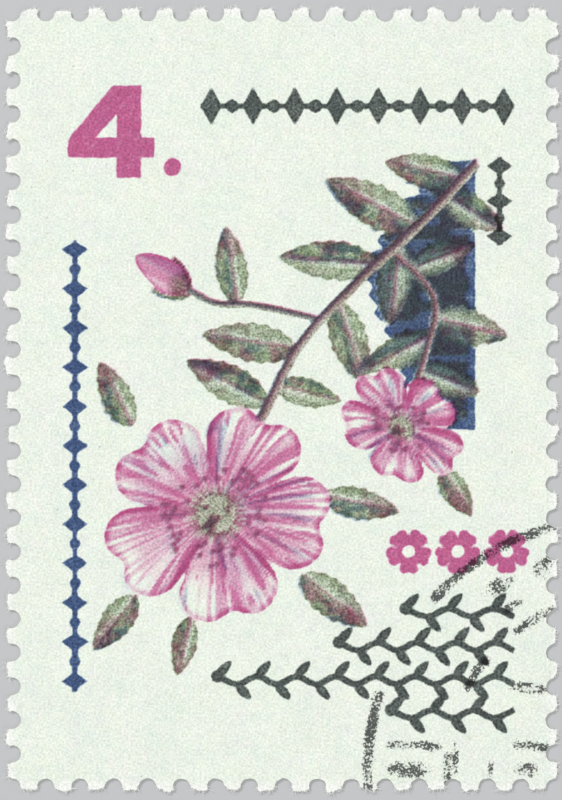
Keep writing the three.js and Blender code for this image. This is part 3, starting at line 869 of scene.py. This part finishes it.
def add_mark(g, colour):
    """The mark's ink, in specks that close up where more of it was left."""
    specks = g.noise(0.12, detail=1.2)[0]
    tone = g.attribute("mark_tone")
    level = g.multiply_add(tone, 1.4, g.multiply_add(specks, 2.2, -1.5))
    cover = g.math("MULTIPLY", g.smooth(0.22, 0.85, level), 0.86)
    cover = g.math("ADD", cover, g.math("MULTIPLY", g.smooth(0.2, 0.9, tone), 0.1))
    return g.mix("MULTIPLY", cover, colour, MARK_INK), cover


def printed_paper():
    """Paper with the four plates' inks in it, which dim light in turn, and the mark over them."""
    g = Graph("printed_paper")
    colour = paper_colour(g)
    randoms = g.cells(PLATE_GRAIN)[0]
    density, inked, grainy = (0, 0, 0), 0.0, 0.0
    for plate, random in zip(INKS, [*randoms, randoms[0]]):
        density, ink = add_ink(g, density, plate, random)
        inked = g.math("MAXIMUM", inked, ink)
        tripled = g.math("MULTIPLY", ink, 3.0, clamp=True)
        grainy = g.math("MAXIMUM", grainy, g.math("MULTIPLY", tripled, GRAINY[plate]))
    left = g.vector("POWER", (math.e,) * 3, density)
    fine = g.noise(0.12, detail=2.0)[0]
    factor = g.multiply_add(g.math("SUBTRACT", fine, 0.5), grainy, 1.0)
    left = g.node("VectorMath", {0: left, "Scale": factor}, operation="SCALE").outputs[0]
    colour = g.mix("MULTIPLY", 1.0, colour, left)
    colour, cover = add_mark(g, colour)
    inked = g.math("MAXIMUM", inked, cover)
    roughness = g.multiply_add(inked, -0.22, 0.88)
    g.shader.inputs["Specular IOR Level"].default_value = PAPER_SPECULAR
    return g.finish(colour, roughness, fine, 0.006)


def dried_gum():
    """A cream film with roller streaks, fine crackle with painted shade along the cracks, and a
    low, uneven gloss.
    """
    g = Graph("dried_gum")
    cloud, tint = g.noise(1.5, detail=4.0)
    colour = g.tinted(GUM_COLOUR, tint, 0.1)
    streaks = g.noise(1.0, detail=3.0, at=g.stretched(90, 6.0, 0.35))[0]
    colour = g.mix("MULTIPLY", g.smooth(0.4, 0.7, streaks), colour, GUM_STREAK)
    bent = g.vector("MULTIPLY_ADD", tint, (0.9 * MM,) * 3, g.place)
    inputs = {"Vector": bent, "Scale": 1 / (0.8 * MM)}
    made = g.node("TexVoronoi", inputs, feature="DISTANCE_TO_EDGE", voronoi_dimensions="2D")
    crack = g.smooth(0.035, 0.0, made.outputs["Distance"])
    crack = g.math("MULTIPLY", crack, g.smooth(0.42, 0.6, cloud))
    # Painted shade: the colour is darkened along the cracks, which the bump below also sinks
    colour = g.mix("MULTIPLY", crack, colour, GUM_CRACK_SHADE)
    fine = g.noise(0.15, detail=3.0)[0]
    roughness = g.multiply_add(fine, 0.35, 0.22)
    height = g.math("SUBTRACT", g.math("ADD", fine, streaks), crack)
    g.shader.inputs["Specular IOR Level"].default_value = GUM_SPECULAR
    return g.finish(colour, roughness, height, 0.008)


def fibre_white():
    """The white of torn fibres."""
    g = Graph("paper_fibre")
    colour = g.tinted(TORN_WHITE, g.noise(0.06, detail=1.0)[0], 0.15)
    fine = g.noise(0.03)[0]
    roughness = g.multiply_add(fine, 0.1, 0.85)
    g.shader.inputs["Specular IOR Level"].default_value = PAPER_SPECULAR
    return g.finish(colour, roughness, fine, 0.002)


def floor_grey():
    """A plain pale grey, very faintly uneven."""
    g = Graph("plain_floor")
    colour = g.tinted(FLOOR_COLOUR, g.noise(40.0)[1], 0.02)
    fine = g.noise(30.0)[0]
    roughness = g.multiply_add(fine, 0.05, 0.9)
    return g.finish(colour, roughness, fine, 0.0)


# The pieces

sheet, grid, flat, count = sheet_mesh(printed_paper())
add_print(sheet, grid, flat, count)

# The export's UV layout: where the printed face starts, its width and height, and the strips beside
# it for the walls and the underside, each as its left side and width
UV_MARGIN, FACE_WIDTH, FACE_HEIGHT = 0.01, 0.92, 0.98
WALL_STRIP, UNDER_STRIP = (0.95, 0.02), (0.98, 0.01)
# A face counts as up or down when its normal is steeper than this
FACING = 0.6


def lay_out(piece):
    """UV layout for the export: printed face at the left, walls and underside beside it."""
    mesh = piece.data
    corners = np.zeros(len(mesh.loops), np.int32)
    mesh.loops.foreach_get("vertex_index", corners)
    points = np.zeros(len(mesh.vertices) * 3)
    mesh.vertices.foreach_get("co", points)
    points = points.reshape(-1, 3) / MM
    share = (points[:, :2] - sheet_low) / (sheet_high - sheet_low)
    u, v = UV_MARGIN + FACE_WIDTH * share[:, 0], UV_MARGIN + FACE_HEIGHT * share[:, 1]
    depth = (SHEET_TOP - points[:, 2]) / (SHEET_TOP - SHEET_LOW)
    normals = np.array([p.normal[2] for p in mesh.polygons])
    sizes = np.array([p.loop_total for p in mesh.polygons])
    up = np.repeat(normals, sizes)
    side = np.where(up > FACING, u[corners], WALL_STRIP[0] + WALL_STRIP[1] * depth[corners])
    side = np.where(up < -FACING, UNDER_STRIP[0] + UNDER_STRIP[1] * share[corners, 0], side)
    placed = np.stack([side, v[corners]], 1).astype(np.float32)
    mesh.uv_layers.new(name="OFBake").data.foreach_set("uv", placed.ravel())


lay_out(sheet)

GUM_STEP = 0.6
GUM_GRID = np.arange(-12, 12.1, GUM_STEP), np.arange(-17.5, 17.6, GUM_STEP)


def gum_mesh(material):
    """The gum as a closed film under the sheet, with the same outline."""
    x, y = np.meshgrid(*GUM_GRID)
    inner = np.stack([x.ravel(), y.ravel()], 1)
    flat = np.concatenate([outline, inner])
    loop = np.arange(len(outline))
    triangles = triangulate(flat, [loop])
    triangles = triangles[inside_outline(*flat[triangles].mean(1).T)]
    count = len(flat)
    points = np.concatenate([np.column_stack([flat, np.full(count, z)]) for z in (0.0, SHEET_LOW)])
    walls = np.stack([loop, np.roll(loop, -1), np.roll(loop, -1) + count, loop + count], 1)
    faces = [*triangles[:, ::-1].tolist(), *(triangles + count).tolist(), *walls.tolist()]
    return new_piece("gum_back", points, faces, material)


gum = gum_mesh(dried_gum())

FIBRES_PER_MM = {"torn": 75, "clean": 4}
# A fibre's width at each of its stations, as a share of its thickest, and the levels it keeps to
FIBRE_WIDTHS = (1.0, 1.0, 0.85, 0.6, 0.2)
FIBRE_LOWEST, FIBRE_HIGHEST = 0.028, 0.118
# The shortest fibre on a torn tip, how much longer others are, and a few long ones beyond that
FIBRE_SHORTEST, FIBRE_LONGER = 0.07, 0.2
LONG_SHARE, LONG_EXTRA = 0.04, 0.2
# How deep fibres are rooted, at which levels, and how thick they are
ROOT_DEPTH, ROOT_LEVELS, FIBRE_THICK = 0.025, (0.035, 0.11), (0.006, 0.011)
# How far fibres stray from straight outward, curl from station to station, and rise or fall
FIBRE_STRAY, FIBRE_CURL, FIBRE_RISE = 0.7, 0.5, 0.3


def fibre_rings(random, at, outward_angle, tornness):
    """The points of one curled fibre: three round each of its stations."""
    length = (FIBRE_SHORTEST + FIBRE_LONGER * random.random() ** 2) * (0.3 + 0.7 * tornness)
    if random.random() < LONG_SHARE * tornness:
        length += LONG_EXTRA
    heading = outward_angle + random.normal(0, FIBRE_STRAY)
    curl = random.normal(0, FIBRE_CURL)
    rise = random.normal(0, FIBRE_RISE)
    thick = random.uniform(*FIBRE_THICK)
    x, y = at
    z = random.uniform(*ROOT_LEVELS)
    reach = length / (len(FIBRE_WIDTHS) - 1)
    for width in FIBRE_WIDTHS:
        for corner in range(3):
            swing = corner * 2 * math.pi / 3
            sideways, up = width * thick * math.cos(swing), width * thick * math.sin(swing)
            yield x - sideways * math.sin(heading), y + sideways * math.cos(heading), z + up
        x += reach * math.cos(heading)
        y += reach * math.sin(heading)
        z = min(max(z + rise * reach, FIBRE_LOWEST), FIBRE_HIGHEST)
        heading += curl


def fibre_mesh(material):
    """Thin curled fibres that stand out of the torn tips, and a few out of the holes' walls."""
    random = np.random.default_rng(7)
    edges = closed(outline)
    lengths = np.hypot(*(edges[:, 1] - edges[:, 0]).T)
    tufts = 0.5 + noise(outline[:, 0] / 0.2, outline[:, 1] / 0.2, 19)
    per_mm = FIBRES_PER_MM["torn"] * torn + FIBRES_PER_MM["clean"] * (1 - torn)
    counts = random.poisson(lengths * tufts * per_mm)
    angles = np.arctan2(outward[:, 1], outward[:, 0])
    points, faces = [], []
    for (start, end), normal, angle, tornness, number in zip(edges, outward, angles, torn, counts):
        for _ in range(number):
            at = start + (end - start) * random.random() - normal * ROOT_DEPTH
            first = len(points)
            points.extend(fibre_rings(random, at, angle, tornness))
            last = len(points) - 3
            for ring in range(first, last, 3):
                for a, b in ((0, 1), (1, 2), (2, 0)):
                    faces.append((ring + a, ring + b, ring + b + 3, ring + a + 3))
            faces.append((first + 2, first + 1, first))
            faces.append((last, last + 1, last + 2))
    return new_piece("torn_fibres", points, faces, material)


fibres = fibre_mesh(fibre_white())

ink_nodes = sorted(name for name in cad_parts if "_ink" in name)
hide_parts("paper_sheet", *ink_nodes)
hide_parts("gum_film")
for piece in (sheet, gum, fibres):
    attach(piece, "root")

# Stage, light and camera

FLOOR_HALF, FLOOR_LEVEL = 700, -0.01
signs = [(-1, -1), (1, -1), (1, 1), (-1, 1)]
floor_corners = [(FLOOR_HALF * across, FLOOR_HALF * ahead, FLOOR_LEVEL) for across, ahead in signs]
floor = new_piece("floor", floor_corners, [(0, 1, 2, 3)], floor_grey())
floor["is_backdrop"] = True

WORLD_STRENGTH = 0.6
world = bpy.data.worlds.new("studio")
world.use_nodes = True
background = world.node_tree.nodes["Background"]
background.inputs["Color"].default_value = (1, 1, 1, 1)
background.inputs["Strength"].default_value = WORLD_STRENGTH
bpy.context.scene.world = world
bpy.context.scene.view_settings.view_transform = "Standard"


def add_lamp(name, place, size, power):
    """A round soft lamp that faces the sheet: place and size in metres, power in watts."""
    lamp = bpy.data.lights.new(name, "AREA")
    lamp.shape = "DISK"
    lamp.size = size
    lamp.energy = power
    holder = bpy.data.objects.new(name, lamp)
    holder.location = place
    holder.rotation_euler = (-Vector(place)).to_track_quat("-Z", "Y").to_euler()
    bpy.context.scene.collection.objects.link(holder)


add_lamp("key", (-0.55, 0.66, 0.62), 0.28, 6.2)
add_lamp("fill", (0.6, -0.6, 0.6), 0.6, 2.4)

# The camera looks straight down, and the sheet stands a little left of the picture's middle
LENS = 85
SENSOR = 36
VIEW_HEIGHT = 38.3
VIEW_MIDDLE = (-0.06, -0.02)
NEAR_CLIP = 0.005
camera_data = bpy.data.cameras.new("camera")
camera_data.lens = LENS
camera_data.sensor_width = SENSOR
camera_data.clip_start = NEAR_CLIP
camera = bpy.data.objects.new("camera", camera_data)
distance = VIEW_HEIGHT * LENS / SENSOR
camera.location = Vector((*VIEW_MIDDLE, SHEET_TOP + distance)) * MM
bpy.context.scene.collection.objects.link(camera)
bpy.context.scene.camera = camera

visual_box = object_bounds()
boxes = {"cad": cad_box, "visual": visual_box}
{name: [list(corner) for corner in box] for name, box in boxes.items()}
